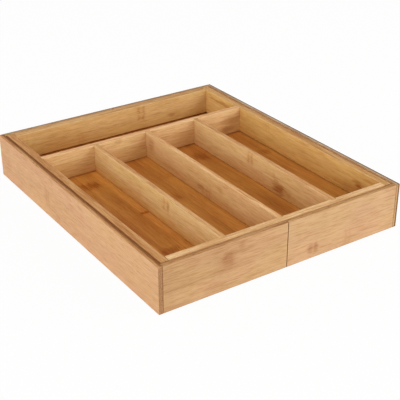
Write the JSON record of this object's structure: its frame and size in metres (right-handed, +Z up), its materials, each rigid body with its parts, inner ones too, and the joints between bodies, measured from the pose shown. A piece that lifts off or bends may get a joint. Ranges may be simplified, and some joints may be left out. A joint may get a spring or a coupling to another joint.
{
  "type": "extending cutlery tray",
  "caption": "Shallow bamboo cutlery tray with long compartments and a cross compartment at the back, in two outer shells that slide out to either side to fill a drawer.",
  "frame": {"origin": "on the surface it rests on, under the middle of the closed tray", "axes": "+X to the right, +Y to the back compartment, +Z up"},
  "size_m": [0.3, 0.355, 0.0515],
  "materials": {
    "shell_side_bamboo": "satin, grain along Y",
    "shell_rail_bamboo": "satin, grain along X",
    "shell_floor_bamboo": "satin, grain along Y",
    "tray_side_bamboo": "satin, grain along Y",
    "tray_rail_bamboo": "satin, grain along X",
    "tray_floor_bamboo": "satin, grain along Y",
    "cross_divider_bamboo": "satin, grain along X",
    "long_divider_bamboo": "satin, grain along Y",
    "runner_bamboo": "satin, grain along X"
  },
  "bodies": {
    "centre_tray": {"tray_front_board": "tray_rail_bamboo", "tray_back_board": "tray_rail_bamboo", "tray_left_board": "tray_side_bamboo", "tray_right_board": "tray_side_bamboo", "tray_floor": "tray_floor_bamboo", "cross_divider": "cross_divider_bamboo", "long_divider_left": "long_divider_bamboo", "long_divider_middle": "long_divider_bamboo", "long_divider_right": "long_divider_bamboo", "front_left_runner": "runner_bamboo", "front_right_runner": "runner_bamboo", "back_left_runner": "runner_bamboo", "back_right_runner": "runner_bamboo"},
    "left_shell": {"left_shell_side_board": "shell_side_bamboo", "left_shell_front_board": "shell_rail_bamboo", "left_shell_back_board": "shell_rail_bamboo", "left_shell_floor": "shell_floor_bamboo"},
    "right_shell": {"right_shell_side_board": "shell_side_bamboo", "right_shell_front_board": "shell_rail_bamboo", "right_shell_back_board": "shell_rail_bamboo", "right_shell_floor": "shell_floor_bamboo"}
  },
  "joints": [
    {"name": "left_shell_slide", "type": "slide", "parent": "centre_tray", "child": "left_shell", "axis": [-1, 0, 0], "range_m": [0, 0.1]},
    {"name": "right_shell_slide", "type": "slide", "parent": "centre_tray", "child": "right_shell", "axis": [1, 0, 0], "range_m": [0, 0.1]}
  ]
}
